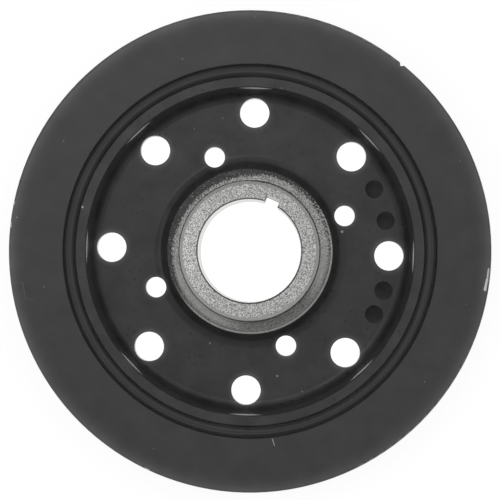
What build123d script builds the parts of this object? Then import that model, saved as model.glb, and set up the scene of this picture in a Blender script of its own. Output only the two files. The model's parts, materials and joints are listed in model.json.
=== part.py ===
"""Crankshaft torsional vibration damper: a cast hub, a bonded rubber ring and a heavy inertia ring.

The axis of the crankshaft is +Z. The damper lies on its front side, so z = 0 is the front face of the
inertia ring and +Z points at the engine, where the seal journal stands proud. +X runs through the large
hole that the balance drillings flank. Millimetres and degrees.
"""

from build123d import *
import os
from math import radians, tan

os.makedirs("parts", exist_ok=True)

# ---- inertia ring, 166 outside with the sizes below ----
ring_width = 18.7
ring_thickness = 28.0
ring_outer_edge_radius = 0.8
ring_inner_edge_radius = 0.4
timing_notch_width = 2.0
timing_notch_depth = 1.0
timing_notch_angle = 52.7

# ---- rubber ring, bonded in the gap between the hub's rim and the inertia ring ----
rubber_gap = 4.3
bead_inset = 0.55
bead_roll_radius = 1.5
bead_edge_radius = 0.5
bead_dip = 0.12
inner_groove_width = 0.35
inner_groove_depth = 2.0
outer_groove_width = 1.0
outer_groove_depth = 2.1

# ---- hub rim, the ring that carries the rubber; its inside flares to a lip at each face ----
rim_outer_diameter = 120.0
rim_wall = 3.35
rim_outer_edge_radius = 0.25
rim_inner_edge_radius = 0.2
rim_lip_height = 1.3
rim_lip_draft = 19.0
rim_lip_blend_radius = 8.0

# ---- hub web, the disc between the rim and the boss ----
rear_recess_depth = 12.0
web_thickness = 8.0
rim_draft = 5.6
rim_foot_fillet = 3.5
boss_draft = 2.0
boss_foot_fillet = 4.9
front_foot_fillet = 1.5

# ---- boss, with the seal journal on the engine side ----
bore_diameter = 35.0
bore_chamfer = 0.5
boss_stand_out = 20.0
journal_diameter = 48.0
journal_lead_in = 1.45
lead_in_blend_radius = 2.0
journal_foot_fillet = 0.6
shoulder_width = 4.5
shoulder_height = 11.5
shoulder_edge_radius = 0.3
bolt_seat_width = 9.5
boss_front_inset = 2.0
keyway_width = 5.0
keyway_depth = 2.2
keyway_angle = 67.5

# ---- holes in the web ----
large_hole_diameter = 10.2
large_hole_to_rim_wall = 1.9
large_hole_count = 8
pulley_hole_diameter = 7.1
pulley_hole_circle = 70.0
pulley_hole_count = 4
pulley_hole_angle = 22.5

# ---- balance drillings, blind from the engine side, on the large holes' circle ----
drilling_diameter = 6.3
drilling_depth = 3.5
drill_point_angle = 118.0
drilling_angles = (28.5, 14.6, -14.5, -25.1)

# ---- sizes and heights that follow from the ones above ----
bore_radius = bore_diameter / 2
journal_radius = journal_diameter / 2
shoulder_radius = journal_radius + shoulder_width
boss_front_radius = bore_radius + bolt_seat_width
rim_outer_radius = rim_outer_diameter / 2
rim_inner_radius = rim_outer_radius - rim_wall
ring_inner_radius = rim_outer_radius + rubber_gap
ring_outer_radius = ring_inner_radius + ring_width

web_rear = ring_thickness - rear_recess_depth
web_front = web_rear - web_thickness
shoulder_level = web_rear + shoulder_height
boss_rear = ring_thickness + boss_stand_out
boss_slope = tan(radians(boss_draft))
rim_slope = tan(radians(rim_draft))
lip_foot = rim_inner_radius - rim_lip_height * tan(radians(rim_lip_draft))
boss_foot = shoulder_radius + shoulder_height * boss_slope
rim_foot = lip_foot - (rear_recess_depth - rim_lip_height) * rim_slope
boss_front_foot = boss_front_radius + (web_front - boss_front_inset) * boss_slope
rim_front_foot = lip_foot - (web_front - rim_lip_height) * rim_slope
large_hole_circle_radius = rim_foot - large_hole_to_rim_wall - large_hole_diameter / 2
drill_point_depth = drilling_diameter / 2 / tan(radians(drill_point_angle / 2))


def corner(section, radius, height):
    """The vertex of a half section nearest to a radius and a height."""
    return section.vertices().sort_by_distance((radius, height))[0]


# ---- hub: one iron casting, turned on its rim, its boss and its bore ----
with BuildPart() as hub:
    with BuildSketch(Plane.XZ) as hub_section:
        with BuildLine():
            Polyline(
                (bore_radius, boss_front_inset),
                (boss_front_radius, boss_front_inset),
                (boss_front_foot, web_front),
                (rim_front_foot, web_front),
                (lip_foot, rim_lip_height),
                (rim_inner_radius, 0),
                (rim_outer_radius, 0),
                (rim_outer_radius, ring_thickness),
                (rim_inner_radius, ring_thickness),
                (lip_foot, ring_thickness - rim_lip_height),
                (rim_foot, web_rear),
                (boss_foot, web_rear),
                (shoulder_radius, shoulder_level),
                (journal_radius, shoulder_level),
                (journal_radius, boss_rear),
                (bore_radius, boss_rear),
                close=True,
            )
        make_face()
        fillet(corner(hub_section, rim_foot, web_rear), rim_foot_fillet)
        fillet(corner(hub_section, rim_front_foot, web_front), front_foot_fillet)
        fillet(corner(hub_section, boss_foot, web_rear), boss_foot_fillet)
        fillet(corner(hub_section, boss_front_foot, web_front), front_foot_fillet)
        for level in (rim_lip_height, ring_thickness - rim_lip_height):
            fillet(corner(hub_section, lip_foot, level), rim_lip_blend_radius)
        for level in (0, ring_thickness):
            fillet(corner(hub_section, rim_outer_radius, level), rim_outer_edge_radius)
            fillet(corner(hub_section, rim_inner_radius, level), rim_inner_edge_radius)
        fillet(corner(hub_section, shoulder_radius, shoulder_level), shoulder_edge_radius)
        fillet(corner(hub_section, journal_radius, shoulder_level), journal_foot_fillet)
        chamfer(corner(hub_section, journal_radius, boss_rear), journal_lead_in)
        fillet(corner(hub_section, journal_radius, boss_rear - journal_lead_in), lead_in_blend_radius)
        chamfer(corner(hub_section, bore_radius, boss_rear), bore_chamfer)
        chamfer(corner(hub_section, bore_radius, boss_front_inset), bore_chamfer)
    revolve(axis=Axis.Z)

    # keyway, broached through the whole bore
    with BuildSketch(Plane.XY.rotated((0, 0, keyway_angle))):
        Rectangle(bore_radius + keyway_depth, keyway_width, align=(Align.MIN, Align.CENTER))
    extrude(amount=boss_rear, mode=Mode.SUBTRACT)

    # through holes in the web
    with PolarLocations(large_hole_circle_radius, large_hole_count):
        Hole(large_hole_diameter / 2)
    with PolarLocations(pulley_hole_circle / 2, pulley_hole_count, pulley_hole_angle):
        Hole(pulley_hole_diameter / 2)

    # balance drillings, each with the cone that the drill's point leaves
    for angle in drilling_angles:
        with PolarLocations(large_hole_circle_radius, 1, angle):
            with Locations((0, 0, web_rear)):
                Hole(drilling_diameter / 2, drilling_depth)
            with Locations((0, 0, web_rear - drilling_depth)):
                Cone(
                    0,
                    drilling_diameter / 2,
                    drill_point_depth,
                    align=(Align.CENTER, Align.CENTER, Align.MAX),
                    mode=Mode.SUBTRACT,
                )

hub.part.label = "hub"

# ---- rubber ring: fills the gap, with a moulded bead between two V grooves at each face ----
with BuildPart() as rubber_ring:
    bead_level = ring_thickness - bead_inset
    inner_crest = rim_outer_radius + inner_groove_width + bead_roll_radius
    outer_crest = ring_inner_radius - outer_groove_width
    with BuildSketch(Plane.XZ) as rubber_section:
        with BuildLine():
            roll = CenterArc((inner_crest, bead_level - bead_roll_radius), bead_roll_radius, 90, 90)
            Polyline(
                roll @ 1,
                (rim_outer_radius, bead_level - inner_groove_depth),
                (rim_outer_radius, ring_thickness / 2),
                (ring_inner_radius, ring_thickness / 2),
                (ring_inner_radius, bead_level - outer_groove_depth),
                (outer_crest, bead_level),
                ((inner_crest + outer_crest) / 2, bead_level - bead_dip),
                roll @ 0,
            )
        make_face()
        fillet(corner(rubber_section, outer_crest, bead_level), bead_edge_radius)
    revolve(axis=Axis.Z)
    mirror(about=Plane.XY.offset(ring_thickness / 2))

rubber_ring.part.label = "rubber_ring"

# ---- inertia ring: a plain turned ring with one timing notch along its rim ----
with BuildPart() as inertia_ring:
    with BuildSketch(Plane.XZ) as ring_section:
        with BuildLine():
            Polyline(
                (ring_inner_radius, 0),
                (ring_outer_radius, 0),
                (ring_outer_radius, ring_thickness),
                (ring_inner_radius, ring_thickness),
                close=True,
            )
        make_face()
        for level in (0, ring_thickness):
            fillet(corner(ring_section, ring_outer_radius, level), ring_outer_edge_radius)
            fillet(corner(ring_section, ring_inner_radius, level), ring_inner_edge_radius)
    revolve(axis=Axis.Z)

    with BuildSketch(Plane.XY.rotated((0, 0, timing_notch_angle))):
        with BuildLine():
            Polyline(
                (ring_outer_radius - timing_notch_depth, 0),
                (ring_outer_radius + timing_notch_depth, timing_notch_width),
                (ring_outer_radius + timing_notch_depth, -timing_notch_width),
                close=True,
            )
        make_face()
    extrude(amount=ring_thickness, mode=Mode.SUBTRACT)

inertia_ring.part.label = "inertia_ring"

# ---- files ----
export_step(hub.part, "parts/hub.step")
export_step(rubber_ring.part, "parts/rubber_ring.step")
export_step(inertia_ring.part, "parts/inertia_ring.step")
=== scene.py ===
import bpy
import json
from functools import partial
from math import cos, pi, radians, sin
from mathutils import Matrix, Vector


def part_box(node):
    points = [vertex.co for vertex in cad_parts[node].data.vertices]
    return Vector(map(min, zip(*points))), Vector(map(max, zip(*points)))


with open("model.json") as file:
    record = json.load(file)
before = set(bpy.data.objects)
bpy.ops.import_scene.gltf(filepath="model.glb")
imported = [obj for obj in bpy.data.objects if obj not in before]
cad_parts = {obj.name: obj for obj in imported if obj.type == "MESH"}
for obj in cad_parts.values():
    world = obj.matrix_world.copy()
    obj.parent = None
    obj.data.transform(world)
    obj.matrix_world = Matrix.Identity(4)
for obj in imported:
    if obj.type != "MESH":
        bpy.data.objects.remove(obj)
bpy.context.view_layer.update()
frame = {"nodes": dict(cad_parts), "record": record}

# ---- hub ----
# A grey iron casting with drafted walls, sprayed satin black. Its boss is bare machined metal at its ends,
# in its bore and on its seal journal, and the spray fades out over its shoulder. Sizes are in millimetres
# and bearings in degrees about the axis: 90 is the far side and 180 the left.

MM = 0.001


def srgb(code):
    """A hex colour as linear red, green, blue and alpha."""
    parts = [int(code[i:i + 2], 16) / 255 for i in (1, 3, 5)]
    return [p / 12.92 if p <= 0.04045 else ((p + 0.055) / 1.055) ** 2.4 for p in parts] + [1.0]


def add_node(tree, kind, inputs=(), **settings):
    """Adds one shader node; inputs maps its sockets to values, sockets or other nodes."""
    new = tree.nodes.new("ShaderNode" + kind)
    for name, value in settings.items():
        setattr(new, name, value)
    for name, value in dict(inputs).items():
        if isinstance(value, bpy.types.Node):
            value = next(out for out in value.outputs if out.enabled)
        if isinstance(value, bpy.types.NodeSocket):
            tree.links.new(value, new.inputs[name])
        else:
            new.inputs[name].default_value = value
    return new


def new_material(name):
    """An empty node material, and the function that adds nodes to it."""
    made = bpy.data.materials.new(name)
    made.use_nodes = True
    made.node_tree.nodes.clear()
    return made, partial(add_node, made.node_tree)


def place_nodes(node):
    """A point's place in millimetres, the same place brought down to height 0, its height and its radius."""
    coordinates = node("TexCoord")
    place = node("VectorMath", {0: coordinates.outputs["Object"], "Scale": 1 / MM}, operation="SCALE")
    parts = node("SeparateXYZ", {0: place})
    flat = node("CombineXYZ", {0: parts.outputs["X"], 1: parts.outputs["Y"]})
    radius = node("VectorMath", {0: flat}, operation="LENGTH").outputs["Value"]
    return place, flat, parts.outputs["Z"], radius


def where(node, *steps):
    """A soft mask; each step gives a value, the level where it is still 0 and the level where it is 1."""
    mask = 1.0
    for value, start, end in steps:
        levels = {"Value": value, "From Min": start, "From Max": end}
        passed = node("MapRange", levels, interpolation_type="SMOOTHSTEP")
        mask = node("Math", {0: mask, 1: passed}, operation="MULTIPLY")
    return mask


def point_at(bearing, radius):
    """The point at a bearing and a radius, at height 0."""
    return Vector((cos(radians(bearing)), sin(radians(bearing)), 0)) * radius


def toward(node, flat, bearing):
    """How far a point lies towards a bearing: 1 at it, 0 a quarter turn away and -1 opposite."""
    way = node("VectorMath", {0: flat}, operation="NORMALIZE")
    return node("VectorMath", {0: way, 1: point_at(bearing, 1)}, operation="DOT_PRODUCT").outputs["Value"]


# Satin black paint, sprayed: near black, with a soft shine that mirrors pale things near a grazing angle.
# It is a little cloudy, has an orange peel and sparse dust stuck in it, and a film of dust greys steep walls.
paint_colour = "#383838"
# the lighter grey mixed in as painted light: painted glare, painted highlights and shade lifted to stand in
# for glare
painted_light_colour = "#606060"
dust_colour = "#787878"
primer_colour = "#a8a8a4"
paint_ior = 1.37
paint_roughness = 0.16
dust_film = 0.04
cloud_size = 9
peel_size = 1.6
peel_depth = 0.004
dust_spacing = 5.0
dust_size = 0.3
dust_share = 0.45
# pits darken the paint to this share: painted shade
pit_shade_tone = 0.5


def paint_nodes(node, place, mottle, painted_light=0.0, rubbed=0.0, shaded_pits=0.0):
    """The paint's shader; mottle is how cloudy it is. The masks are 1 where painted light lightens it as
    painted glare and painted highlights, where it is rubbed through to the primer, and where a pit lies under
    it, darkened as painted shade."""
    clouds = node("TexNoise", {"Vector": place, "Scale": 1 / cloud_size, "Detail": 5.0, "Roughness": 0.6})
    peel = node("TexNoise", {"Vector": place, "Scale": 1 / peel_size, "Detail": 2.0})
    speck = node("TexVoronoi", {"Vector": place, "Scale": 1 / dust_spacing})
    chosen = node("SeparateColor", {0: speck.outputs["Color"]})
    size = node("Math", {0: chosen.outputs["Red"], 1: dust_size / dust_spacing}, operation="MULTIPLY")
    near = node("Math", {0: speck.outputs["Distance"], 1: size}, operation="LESS_THAN")
    kept = node("Math", {0: chosen.outputs["Green"], 1: dust_share}, operation="LESS_THAN")
    dust = node("Math", {0: near, 1: kept}, operation="MULTIPLY")
    # the lighter grey is mixed in where painted light lies
    film = node("Mix", {0: painted_light, 6: srgb(paint_colour), 7: srgb(painted_light_colour)}, data_type="RGBA")
    dusted = node("Mix", {0: dust, 6: film.outputs[2], 7: srgb(dust_colour)}, data_type="RGBA")
    colour = node("Mix", {0: rubbed, 6: dusted.outputs[2], 7: srgb(primer_colour)}, data_type="RGBA")
    cloudy = node("MapRange", {"Value": clouds.outputs["Fac"], "From Min": 0.25, "From Max": 0.75,
                               "To Min": 1 - mottle, "To Max": 1 + mottle})
    sunk = node("MapRange", {"Value": shaded_pits, "To Min": 1.0, "To Max": pit_shade_tone})
    tone = node("Math", {0: cloudy, 1: sunk}, operation="MULTIPLY")
    shade = node("VectorMath", {0: colour.outputs[2], "Scale": tone}, operation="SCALE")
    bump = node("Bump", {"Height": peel.outputs["Fac"], "Distance": peel_depth * MM, "Strength": 1.0})
    return node("BsdfPrincipled", {"Base Color": shade, "Roughness": paint_roughness, "IOR": paint_ior,
                                   "Sheen Weight": dust_film, "Normal": bump})


# Bare machined iron: mid grey, with the blotchy graphite grain that turning opens up. The grain is drawn
# coarser than the real one, so that it shows.
iron_colour = "#9a9a98"
iron_dark_colour = "#626260"
iron_light_colour = "#c8c8c6"
grain_size = 0.36
grain_depth = 0.02
polish_gain = 1.6


def iron_nodes(node, place, grain, polish_and_highlight, rough):
    """Bare iron; grain is 1 on an open, blotchy face and 0 on a fine turned one, and polish and a painted
    highlight lighten it.
    """
    blotch = node("TexNoise", {"Vector": place, "Scale": 1 / grain_size, "Detail": 2.0, "Roughness": 0.6})
    spread = node("MapRange", {"Value": blotch.outputs["Fac"], "From Min": 0.36, "From Max": 0.64})
    mixed = node("Mix", {0: spread, 6: srgb(iron_dark_colour), 7: srgb(iron_light_colour)}, data_type="RGBA")
    colour = node("Mix", {0: grain, 6: srgb(iron_colour), 7: mixed.outputs[2]}, data_type="RGBA")
    tone = node("MapRange", {"Value": polish_and_highlight, "To Min": 1.0, "To Max": polish_gain})
    shade = node("VectorMath", {0: colour.outputs[2], "Scale": tone}, operation="SCALE")
    depth = node("Math", {0: blotch.outputs["Fac"], 1: grain}, operation="MULTIPLY")
    bump = node("Bump", {"Height": depth, "Distance": grain_depth * MM, "Strength": 1.0})
    return node("BsdfPrincipled", {"Base Color": shade, "Roughness": rough, "Metallic": 1.0, "Normal": bump})


def dots_on(node, flat, dots):
    """Where the dots are, soft at their edges; each has a bearing, a radius and a half width."""
    found = 0.0
    for bearing, radius, half_width in dots:
        offset = node("VectorMath", {0: flat, 1: point_at(bearing, radius)}, operation="SUBTRACT")
        distance = node("VectorMath", {0: offset}, operation="LENGTH").outputs["Value"]
        dot = where(node, (distance, 1.3 * half_width, 0.7 * half_width))
        found = node("Math", {0: found, 1: dot}, operation="MAXIMUM")
    return found


mounts = {mount["name"]: mount["dims"] for mount in frame["record"]["mounts"]}
bore_radius = mounts["bore"]["r_mm"]
boss_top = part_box("hub")[1].z / MM
web_rear = 16.0
shoulder_level = 27.5
shoulder_radius = 28.5
bolt_seat_level = 2.0
bolt_seat_radius = 27.0

hub_finish, node = new_material("black_painted_iron_casting")
place, flat, height, radius = place_nodes(node)

# the boss is bare on its shoulder and its journal, in its bore and on its bolt seat
on_shoulder = where(node, (height, shoulder_level - 0.7, shoulder_level - 0.3),
                    (radius, shoulder_radius + 1.5, shoulder_radius + 1.0))
in_bore = where(node, (radius, bore_radius + 3.0, bore_radius + 2.9))
on_seat = where(node, (height, bolt_seat_level + 0.6, bolt_seat_level + 0.5),
                (radius, bolt_seat_radius + 0.4, bolt_seat_radius + 0.3))

# The overspray lies full on the far left of the shoulder, where its edge drifts inwards. It is thinner
# elsewhere, a mere film on the near side, and worn off the shoulder's corner away from the spray.
spray_bearing = 127
spray_radius = 26.65
spray_drift = -1.0
spray_fade = 1.0
least_spray = 0.66
film_bearing = 294
film_cover = 0.57

spray_side = toward(node, flat, spray_bearing)
drift = where(node, (spray_side, 0.6, 1.0))
edge_radius = node("Math", {0: drift, 1: spray_drift, 2: spray_radius}, operation="MULTIPLY_ADD")
past_edge = node("Math", {0: radius, 1: edge_radius}, operation="SUBTRACT")
reached = where(node, (past_edge, -spray_fade, spray_fade))
fullness = node("MapRange", {"Value": spray_side, "From Min": -0.2, "From Max": 0.6, "To Min": least_spray})
spray = node("Math", {0: reached, 1: fullness}, operation="MULTIPLY")
film_side = toward(node, flat, film_bearing)
film = node("MapRange", {"Value": film_side, "From Min": 0.6, "From Max": 0.92, "To Max": film_cover})
corner_worn = where(node, (radius, shoulder_radius - 0.8, shoulder_radius - 0.4), (spray_side, 0.1, -0.3))
corner_kept = node("Math", {0: 1.0, 1: corner_worn}, operation="SUBTRACT")
cover = node("Math", {0: spray, 1: film}, operation="MAXIMUM")
cover = node("Math", {0: cover, 1: corner_kept}, operation="MULTIPLY")

# The far side of the shoulder was left rough, which breaks the spray up into speckles. The near side was
# turned finer, and there the spray follows the turning lines, which are drawn coarser than the real ones.
rough_bearing = 100
speckle_size = 0.6
turning_width = 0.6
turning_share = 0.7
cover_gain = 1.12
cover_loss = -0.08
speckle_edge = 0.38

rough_side = where(node, (toward(node, flat, rough_bearing), -0.4, 0.3))
speckle = node("TexNoise", {"Vector": place, "Scale": 1 / speckle_size, "Detail": 2.0, "Roughness": 0.6})
turns = node("Math", {0: radius, 1: 1 / turning_width}, operation="MULTIPLY")
lines = node("TexNoise", {"W": turns, "Detail": 1.0}, noise_dimensions="1D")
lined = node("Mix", {0: turning_share, 2: speckle.outputs["Fac"], 3: lines.outputs["Fac"]}).outputs[0]
strong = node("MapRange", {"Value": speckle.outputs["Fac"], "From Min": 0.34, "From Max": 0.66})
weak = node("MapRange", {"Value": lined, "From Min": 0.35, "From Max": 0.65, "To Min": 0.1, "To Max": 0.9})
ragged = node("Mix", {0: rough_side, 2: weak, 3: strong}).outputs[0]
excess = node("Math", {0: cover, 1: cover_gain, 2: cover_loss}, operation="MULTIPLY_ADD")
excess = node("Math", {0: excess, 1: ragged}, operation="SUBTRACT")
sprayed = where(node, (excess, -speckle_edge, speckle_edge),
                (height, shoulder_level + 1.0, shoulder_level + 0.6))
unsprayed = node("Math", {0: 1.0, 1: sprayed}, operation="SUBTRACT")
bare = node("Math", {0: on_shoulder, 1: unsprayed}, operation="MULTIPLY")
bare = node("Math", {0: bare, 1: in_bore}, operation="MAXIMUM")
bare = node("Math", {0: bare, 1: on_seat}, operation="MAXIMUM")

# The open grain is on the end face and on the shoulder, where it is fainter on the near side. The journal
# is fine turned and the bore finer still. The end face is cut brighter, and its left is lighter still as a
# painted highlight.
near_grain = 0.35
journal_polish = 0.6
end_polish = 0.38
# the next value lightens the left of the end face as a painted highlight
left_highlight = 0.5
bore_roughness = 0.20
turned_roughness = 0.34
grain_roughness = 0.08

on_end = where(node, (height, boss_top - 0.12, boss_top - 0.04))
off_bore = where(node, (radius, bore_radius + 0.2, bore_radius + 0.3))
below_journal = where(node, (height, shoulder_level + 0.4, shoulder_level + 0.1))
shoulder_grain = node("MapRange", {"Value": rough_side, "To Min": near_grain})
grain = node("Math", {0: below_journal, 1: shoulder_grain}, operation="MULTIPLY")
grain = node("Math", {0: on_end, 1: grain}, operation="MAXIMUM")
grain = node("Math", {0: grain, 1: off_bore}, operation="MULTIPLY")
# a painted highlight: the left of the end face is lightened where the light at the left falls
lit_left_side = where(node, (toward(node, flat, 180), 0.55, 1.0))
end_tone = node("Math", {0: lit_left_side, 1: left_highlight, 2: end_polish}, operation="MULTIPLY_ADD")
on_journal = where(node, (height, shoulder_level + 1.0, shoulder_level + 1.4))
journal_tone = node("Math", {0: on_journal, 1: journal_polish}, operation="MULTIPLY")
polish_and_highlight = node("Mix", {0: on_end, 2: journal_tone, 3: end_tone}).outputs[0]
fine = node("MapRange", {"Value": off_bore, "To Min": bore_roughness, "To Max": turned_roughness})
rough = node("Math", {0: grain, 1: grain_roughness, 2: fine}, operation="MULTIPLY_ADD")
iron = iron_nodes(node, place, grain, polish_and_highlight, rough)

# small pits of the casting show through the paint, in patches; they have no shape of their own, and their
# darkness is painted shade
pit_spacing = 1.8
pit_size = 0.5
patch_size = 14

cells = node("TexVoronoi", {"Vector": place, "Scale": 1 / pit_spacing})
cell_share = node("SeparateColor", {0: cells.outputs["Color"]}).outputs["Red"]
reach = node("Math", {0: cell_share, 1: pit_size / pit_spacing}, operation="MULTIPLY")
inside = node("Math", {0: cells.outputs["Distance"], 1: reach}, operation="LESS_THAN")
patches = node("TexNoise", {"Vector": place, "Scale": 1 / patch_size, "Detail": 3.0})
in_patch = where(node, (patches.outputs["Fac"], 0.44, 0.52))
pits = node("Math", {0: inside, 1: in_patch}, operation="MULTIPLY")

# flecks where the paint was rubbed through to the primer, three on the web and one on the rim; each has a
# bearing, a radius and a half width
hub_flecks = (
    (248, 34.8, 0.24),
    (284, 44.2, 0.30),
    (14, 32.6, 0.45),
    (167, 59.6, 0.40),
)
above_web = where(node, (height, web_rear - 0.2, web_rear - 0.1))
flecks = node("Math", {0: above_web, 1: dots_on(node, flat, hub_flecks)}, operation="MULTIPLY")

# Below the web's rear face, in the balance drillings and over the front side, the paint is lightened as
# painted light that stands in for glare lifting the shade, and a painted glare halo lightens it around the
# rims of the through holes. Each set of holes has its circle's radius, its holes' radius and count, the first
# one's bearing and the width of the painted glare halo around them.
below_web_glare = 0.6
large_holes = (48.15, 5.1, 8, 0, 2.5)
pulley = mounts["pulley_holes"]
pulley_holes = (pulley["pcd_mm"] / 2, pulley["hole_r_mm"], pulley["count"], 22.5, 2.0)

# painted light: the paint below the web's rear face is lightened
below_web = where(node, (height, web_rear - 0.1, web_rear - 0.4))
painted_light = node("Math", {0: below_web, 1: below_web_glare}, operation="MULTIPLY")
parts = node("SeparateXYZ", {0: flat})
bearing = node("Math", {0: parts.outputs["Y"], 1: parts.outputs["X"]}, operation="ARCTAN2")
square = node("Math", {0: radius, 1: radius}, operation="MULTIPLY")
for circle_radius, hole_radius, count, first_bearing, glare_halo in (large_holes, pulley_holes):
    # the distance to the nearest hole's axis, by the cosine rule
    turned = node("Math", {0: bearing, 1: radians(first_bearing)}, operation="SUBTRACT")
    folded = node("Math", {0: turned, 1: pi / count}, operation="PINGPONG")
    cosine = node("Math", {0: folded}, operation="COSINE")
    along = node("Math", {0: cosine, 1: radius}, operation="MULTIPLY")
    gap = node("Math", {0: along, 1: -2 * circle_radius, 2: square}, operation="MULTIPLY_ADD")
    gap = node("Math", {0: gap, 1: circle_radius ** 2}, operation="ADD")
    distance = node("Math", {0: gap}, operation="SQRT")
    # the painted glare halo around each hole, lightest at its rim
    near = node("MapRange", {"Value": distance, "From Min": hole_radius + glare_halo, "From Max": hole_radius})
    near = node("Math", {0: near, 1: 2.0}, operation="POWER")
    painted_light = node("Math", {0: painted_light, 1: near}, operation="MAXIMUM")

hub_mottle = 0.42
paint = paint_nodes(node, place, hub_mottle, painted_light, flecks, pits)
surface = node("MixShader", {0: bare, 1: paint, 2: iron})
node("OutputMaterial", {"Surface": surface})
frame["nodes"]["hub"].data.materials.clear()
frame["nodes"]["hub"].data.materials.append(hub_finish)

# ---- rubber ring ----
# Black rubber, cured in the gap between the rim and the inertia ring and bonded to both. The paint went
# over it, so it is nearly as dark as they are, but softer in its shine. Its grooves and its front side are
# painted lighter grey, painted light that stands in for glare lifting their shade, and a painted highlight
# runs along the middle of its bead.

rubber_roughness = 0.35
rubber_ior = 1.33
rubber_dust = 0.12
rubber_mottle = 0.15
crest_radius = 61.9
# the bead's crest is lightened by this share as a painted highlight
crest_highlight = 0.2
bead_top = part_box("rubber_ring")[1].z / MM

rubber_finish, node = new_material("painted_black_rubber")
place, _, height, radius = place_nodes(node)
# the grooves and the front side are lightened as painted light standing in for glare
in_groove = where(node, (height, bead_top - 0.3, bead_top - 1.0))
on_crest = where(node, (radius, crest_radius - 0.3, crest_radius - 0.1),
                 (radius, crest_radius + 0.3, crest_radius + 0.1))
crest = node("Math", {0: on_crest, 1: crest_highlight}, operation="MULTIPLY")
groove_and_crest_light = node("Math", {0: in_groove, 1: crest}, operation="MAXIMUM")
paint = paint_nodes(node, place, rubber_mottle, groove_and_crest_light)
paint.inputs["Roughness"].default_value = rubber_roughness
paint.inputs["IOR"].default_value = rubber_ior
paint.inputs["Sheen Weight"].default_value = rubber_dust
node("OutputMaterial", {"Surface": paint})
frame["nodes"]["rubber_ring"].data.materials.clear()
frame["nodes"]["rubber_ring"].data.materials.append(rubber_finish)

# ---- inertia ring ----
# A heavy grey iron ring, turned all over, notched once for timing and painted with the hub. Painted glare
# lightens its paint a little all over and more towards its outer edge and over its outer side, most towards
# bearing 130. The paint is chipped in a few places and scratched by handling.

fray_size = 0.5


def marks_on(node, flat, marks):
    """Where the marks are, with ragged sides; each runs from one bearing and radius to another."""
    fray = node("TexNoise", {"Vector": flat, "Scale": 1 / fray_size, "Detail": 2.0}).outputs["Fac"]
    found = 0.0
    for bearing_1, radius_1, bearing_2, radius_2, half_width in marks:
        start = point_at(bearing_1, radius_1)
        run = point_at(bearing_2, radius_2) - start
        offset = node("VectorMath", {0: flat, 1: start}, operation="SUBTRACT")
        share = node("VectorMath", {0: offset, 1: run / run.length_squared}, operation="DOT_PRODUCT")
        share = node("Math", {0: share.outputs["Value"], 1: 1.0}, operation="MULTIPLY", use_clamp=True)
        aside = node("VectorMath", {0: -run, 1: share, 2: offset}, operation="MULTIPLY_ADD")
        distance = node("VectorMath", {0: aside}, operation="LENGTH").outputs["Value"]
        frayed = node("Math", {0: fray, 1: half_width, 2: distance}, operation="MULTIPLY_ADD")
        mark = where(node, (frayed, 1.5 * half_width, 1.1 * half_width))
        found = node("Math", {0: found, 1: mark}, operation="MAXIMUM")
    return found


ring_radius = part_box("inertia_ring")[1].x / MM
ring_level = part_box("inertia_ring")[1].z / MM
ring_mottle = 0.18
# painted glare: the paint is lightened within this band of the outer edge, fully at the rim, more towards a
# bearing and a little everywhere
glare_band = 7.0
glare_rim = 0.6
glare_bearing = 130
glare_swing = 0.2
glare_mean = 0.95
least_lightening = 0.05

# chips down to the iron and scratches down to the primer, each from one bearing and radius to another with
# a half width, and flecks, each with a bearing, a radius and a half width
chip_colour = "#bebebc"
chip_roughness = 0.32
ring_chips = (
    (-2.5, 82.25, -5, 82.15, 0.42),
    (-5, 82.05, -7.5, 81.8, 0.55),
    (170, 82.7, 170.5, 82.7, 0.22),
    (175, 82.8, 176, 82.7, 0.28),
    (246, 82.7, 247, 82.7, 0.28),
)
ring_scratches = (
    (-81.4, 64.9, -81, 67.2, 0.18),
    (189.5, 78.8, 193.5, 79.0, 0.03),
    (193.5, 79.0, 195, 75.8, 0.015),
)
ring_flecks = (
    (173.5, 81.0, 0.22),
    (348, 76.5, 0.09),
    (25, 78.5, 0.12),
    (325, 74.8, 0.12),
)

ring_finish, node = new_material("black_painted_iron_ring")
place, flat, height, radius = place_nodes(node)
# painted glare, lightest at the outer edge and towards the light's bearing
outward = node("MapRange", {"Value": radius, "From Min": ring_radius - glare_band,
                            "From Max": ring_radius - glare_rim})
painted_light = node("Math", {0: outward, 1: 3.0}, operation="POWER")
glare_side = toward(node, flat, glare_bearing)
glare_side = node("Math", {0: glare_side, 1: glare_swing, 2: glare_mean}, operation="MULTIPLY_ADD")
painted_light = node("Math", {0: painted_light, 1: glare_side}, operation="MULTIPLY")
painted_light = node("MapRange", {"Value": painted_light, "To Min": least_lightening})
on_face = where(node, (height, ring_level - 1.3, ring_level - 1.1))
scratches = marks_on(node, flat, ring_scratches)
rubbed = node("Math", {0: scratches, 1: dots_on(node, flat, ring_flecks)}, operation="MAXIMUM")
rubbed = node("Math", {0: on_face, 1: rubbed}, operation="MULTIPLY")
chipped = node("Math", {0: on_face, 1: marks_on(node, flat, ring_chips)}, operation="MULTIPLY")
paint = paint_nodes(node, place, ring_mottle, painted_light, rubbed)
iron = node("BsdfPrincipled", {"Base Color": srgb(chip_colour), "Roughness": chip_roughness, "Metallic": 1.0})
surface = node("MixShader", {0: chipped, 1: paint, 2: iron})
node("OutputMaterial", {"Surface": surface})
frame["nodes"]["inertia_ring"].data.materials.clear()
frame["nodes"]["inertia_ring"].data.materials.append(ring_finish)

# ---- floor ----
# A plain white table. It glows as a lit backdrop for the eye and for reflections, and keeps a faint
# soft shadow; under the damper it is a little brighter, so the holes show plain white.

floor_size = 12000
floor_level = -0.05
floor_glow = 0.87
under_glow = 0.18
under_radius = 70
under_fade = 8
floor_colour = "#e6e6e6"
shadow_colour = "#8a8a8a"

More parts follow.
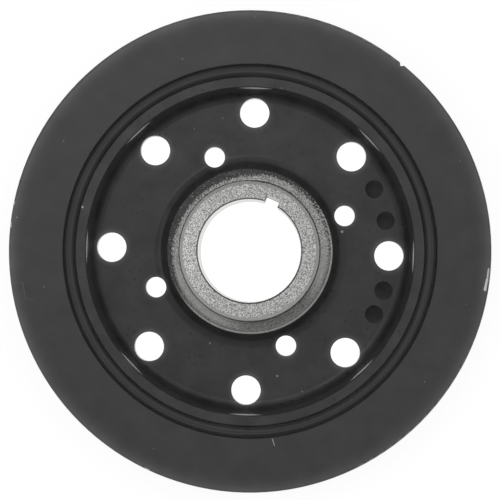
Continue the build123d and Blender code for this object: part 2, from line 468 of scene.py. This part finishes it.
bpy.ops.mesh.primitive_plane_add(size=floor_size * MM, location=(0, 0, floor_level * MM))
floor = bpy.context.object
floor.name = "floor"
white, node = new_material("white_table")
_, _, _, radius = place_nodes(node)
path = node("LightPath")
seen = node("Math", {0: path.outputs["Is Camera Ray"], 1: path.outputs["Is Glossy Ray"]}, operation="MAXIMUM")
seen = node("Math", {0: seen, 1: path.outputs["Is Transmission Ray"]}, operation="MAXIMUM")
under = where(node, (radius, under_radius + under_fade, under_radius))
strength = node("Math", {0: under, 1: under_glow, 2: floor_glow}, operation="MULTIPLY_ADD")
glow = node("Emission", {"Color": srgb("#ffffff"), "Strength": strength})
matt = node("BsdfDiffuse", {"Color": srgb(shadow_colour)})
lit = node("AddShader", {0: glow, 1: matt})
plain = node("BsdfDiffuse", {"Color": srgb(floor_colour)})
surface = node("MixShader", {0: seen, 1: plain, 2: lit})
node("OutputMaterial", {"Surface": surface})
floor.data.materials.append(white)

# ---- lights ----
# A small bright soft box beside the camera, towards the far left, with a broad one over the far right and
# a low one at the left, in a dim room that is a little lighter on the near side.

# the studio stands turned a little from the damper's own axes
turn = radians(1.8)
far_way = Vector((-sin(turn), cos(turn), 0))
right_way = Vector((cos(turn), sin(turn), 0))

# each soft box leans from straight overhead, towards a bearing in the studio, with its spread, all in
# degrees, and its level
soft_boxes = (
    (10.5, 120, 6, 1.2),
    (27.5, 60, 30, 0.86),
    (55, 180, 18, 0.77),
)
room_level = 0.23
near_room_level = 0.20

world = bpy.data.worlds.new("studio")
bpy.context.scene.world = world
world.use_nodes = True
world.node_tree.nodes.clear()
node = partial(add_node, world.node_tree)
way = node("TexCoord").outputs["Generated"]
nearness = node("VectorMath", {0: way, 1: -far_way}, operation="DOT_PRODUCT").outputs["Value"]
level = node("Math", {0: nearness, 1: near_room_level, 2: room_level}, operation="MULTIPLY_ADD")
for lean, bearing, spread, box_level in soft_boxes:
    across = sin(radians(bearing)) * far_way + cos(radians(bearing)) * right_way
    box_way = cos(radians(lean)) * Vector((0, 0, 1)) + sin(radians(lean)) * across
    near_box = node("VectorMath", {0: way, 1: box_way}, operation="DOT_PRODUCT").outputs["Value"]
    fall = 1 / radians(spread) ** 2
    power = node("Math", {0: near_box, 1: fall, 2: -fall}, operation="MULTIPLY_ADD")
    box = node("Math", {0: power}, operation="EXPONENT")
    level = node("Math", {0: box, 1: box_level, 2: level}, operation="MULTIPLY_ADD")

# behind the table the eye sees a white backdrop
camera_ray = node("LightPath").outputs["Is Camera Ray"]
low = where(node, (node("SeparateXYZ", {0: way}).outputs["Z"], 0.2, 0.06))
backdrop_seen = node("Math", {0: camera_ray, 1: low}, operation="MULTIPLY")
level = node("Mix", {0: backdrop_seen, 2: level, 3: 1.0}).outputs[0]
backdrop = node("Background", {"Color": srgb("#ffffff"), "Strength": level})
node("OutputWorld", {"Surface": backdrop})

# ---- camera ----
# Far above the engine side and nearly on the axis, turned with the studio. It looks at a point of the
# ring's rear face that is a little off the axis, and leans from there by a small slope each way.

look_right = 0.017
look_far = 0.443
slope_right = 0.0100
slope_far = -0.0075
camera_height = 1148
view_span = 171.80
sensor = 36.0

target = Vector((0, 0, ring_level)) + look_right * right_way + look_far * far_way
rise = Vector((0, 0, 1)) + slope_right * right_way + slope_far * far_way
camera_place = (target + camera_height * rise) * MM
camera_data = bpy.data.cameras.new("camera")
camera = bpy.data.objects.new("camera", camera_data)
bpy.context.scene.collection.objects.link(camera)
camera_data.sensor_width = sensor
camera_data.lens = sensor * camera_height / view_span
camera_data.clip_end = 20.0
look = -rise.normalized()
right = look.cross(far_way).normalized()
up = right.cross(look)
camera.matrix_world = Matrix.Translation(camera_place) @ Matrix((right, up, -look)).transposed().to_4x4()
bpy.context.scene.camera = camera
bpy.context.scene.view_settings.view_transform = "Standard"
